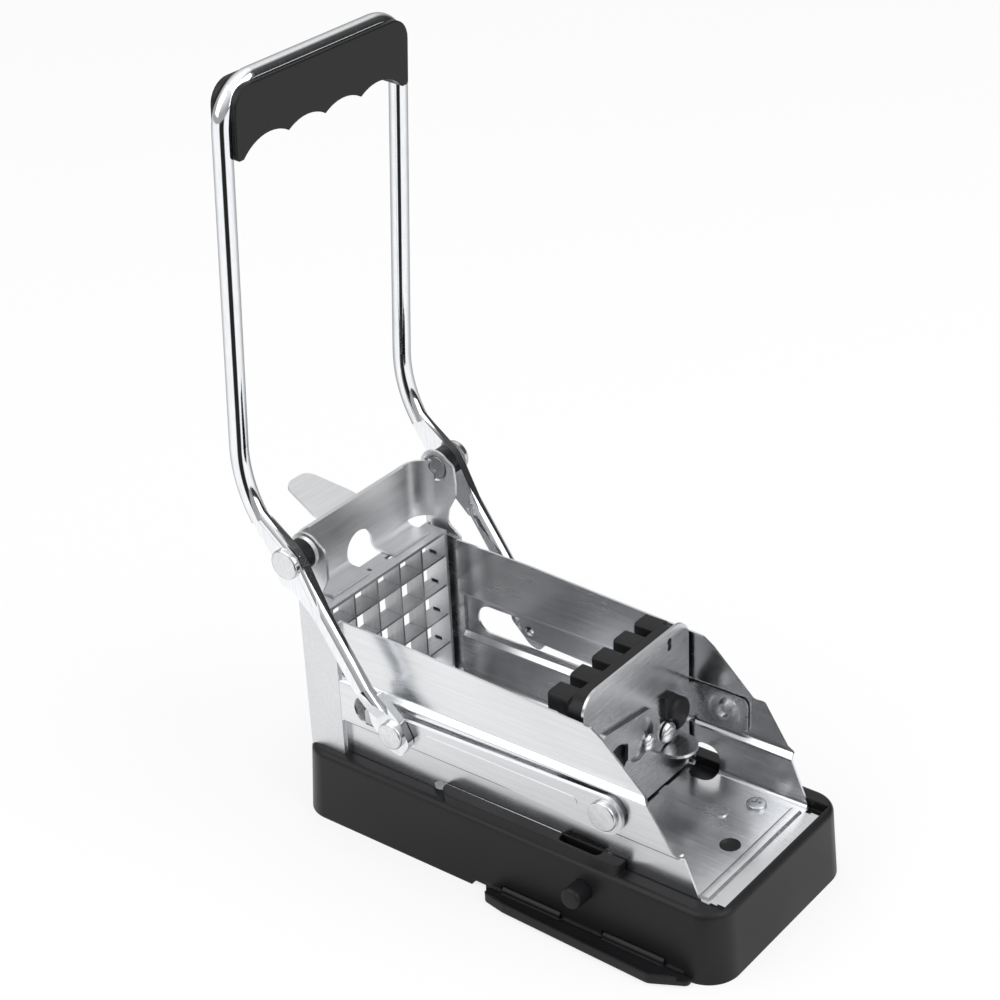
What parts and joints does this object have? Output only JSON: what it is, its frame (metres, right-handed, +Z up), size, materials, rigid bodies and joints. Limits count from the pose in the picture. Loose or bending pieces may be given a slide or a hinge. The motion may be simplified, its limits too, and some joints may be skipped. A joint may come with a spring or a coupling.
{
  "type": "french fry cutter",
  "caption": "Hand-lever french fry cutter: looped chrome handle, slotted steel chamber, blade grid, toothed pusher and a black suction base.",
  "frame": {"origin": "centre of the base's underside, on the table plane", "axes": "+X towards the open loading end, +Y away from the suction lever's side, +Z up"},
  "size_m": [0.2122, 0.1005, 0.2827],
  "materials": {
    "black_plastic": "satin moulded black",
    "grip_plastic": "semi-gloss moulded black",
    "chrome_rod": "polished chrome plate",
    "bright_sheet": "polished stainless sheet with soft drawn streaks",
    "carrier_sheet": "dull rolled steel sheet",
    "blade_steel": "bright ground steel",
    "rivet_steel": "bright nickel plate",
    "zinc_steel": "zinc plated",
    "pad_rubber": "soft black rubber"
  },
  "bodies": {
    "frame": {"base_tray": "black_plastic", "chassis": "bright_sheet", "rear_housing": "bright_sheet", "thumb_tab": "bright_sheet", "floor_screws": "zinc_steel", "stop_peg": "black_plastic", "blade_frame": "bright_sheet", "vertical_blades": "blade_steel", "horizontal_blades": "blade_steel", "pivot_rivets": "rivet_steel", "pivot_spacers": "black_plastic", "suction_pad": "pad_rubber", "lever_axle": "zinc_steel"},
    "handle": {"handle_frame": "chrome_rod", "grip": "grip_plastic", "lever_rivets": "rivet_steel"},
    "pusher": {"pusher_plate": "carrier_sheet", "pusher_block": "black_plastic", "block_stud": "black_plastic", "slide_rivets": "rivet_steel", "guide_rivet": "rivet_steel", "latch_pivot": "rivet_steel"},
    "links": {"link_left": "bright_sheet", "link_right": "bright_sheet"},
    "latch": {"latch_plate": "carrier_sheet"},
    "lever": {"suction_lever": "black_plastic"},
    "lift": {"lift_plate": "zinc_steel", "suction_stem": "zinc_steel"}
  },
  "joints": [
    {"name": "handle_swing", "type": "hinge", "parent": "frame", "child": "handle", "pos_m": [-0.0823, 0, 0.1105], "axis": [0, 1, 0], "range_deg": [0, 91.2]},
    {"name": "pusher_slide", "type": "slide", "parent": "frame", "child": "pusher", "axis": [1, 0, 0], "range_m": [-0.10145, 0]},
    {"name": "link_swing", "type": "hinge", "parent": "pusher", "child": "links", "pos_m": [0.04475, 0, 0.0515], "axis": [0, 1, 0], "range_deg": [0, 13.94]},
    {"name": "latch_turn", "type": "hinge", "parent": "pusher", "child": "latch", "pos_m": [0.03255, 0.0155, 0.049], "axis": [1, 0, 0], "range_deg": [0, 12]},
    {"name": "suction_lock", "type": "hinge", "parent": "frame", "child": "lever", "pos_m": [0.039, -0.041, 0.0026], "axis": [-1, 0, 0], "range_deg": [0, 50]},
    {"name": "pad_lift", "type": "slide", "parent": "frame", "child": "lift", "axis": [0, 0, 1], "range_m": [-0.0025, 0]}
  ],
  "couplings": [
    {"joint": "pusher_slide", "follows": "handle_swing", "m_per_rad": -0.063733},
    {"joint": "link_swing", "follows": "handle_swing", "ratio": 0.1528},
    {"joint": "suction_lock", "follows": "pad_lift", "rad_per_m": -349.06}
  ]
}
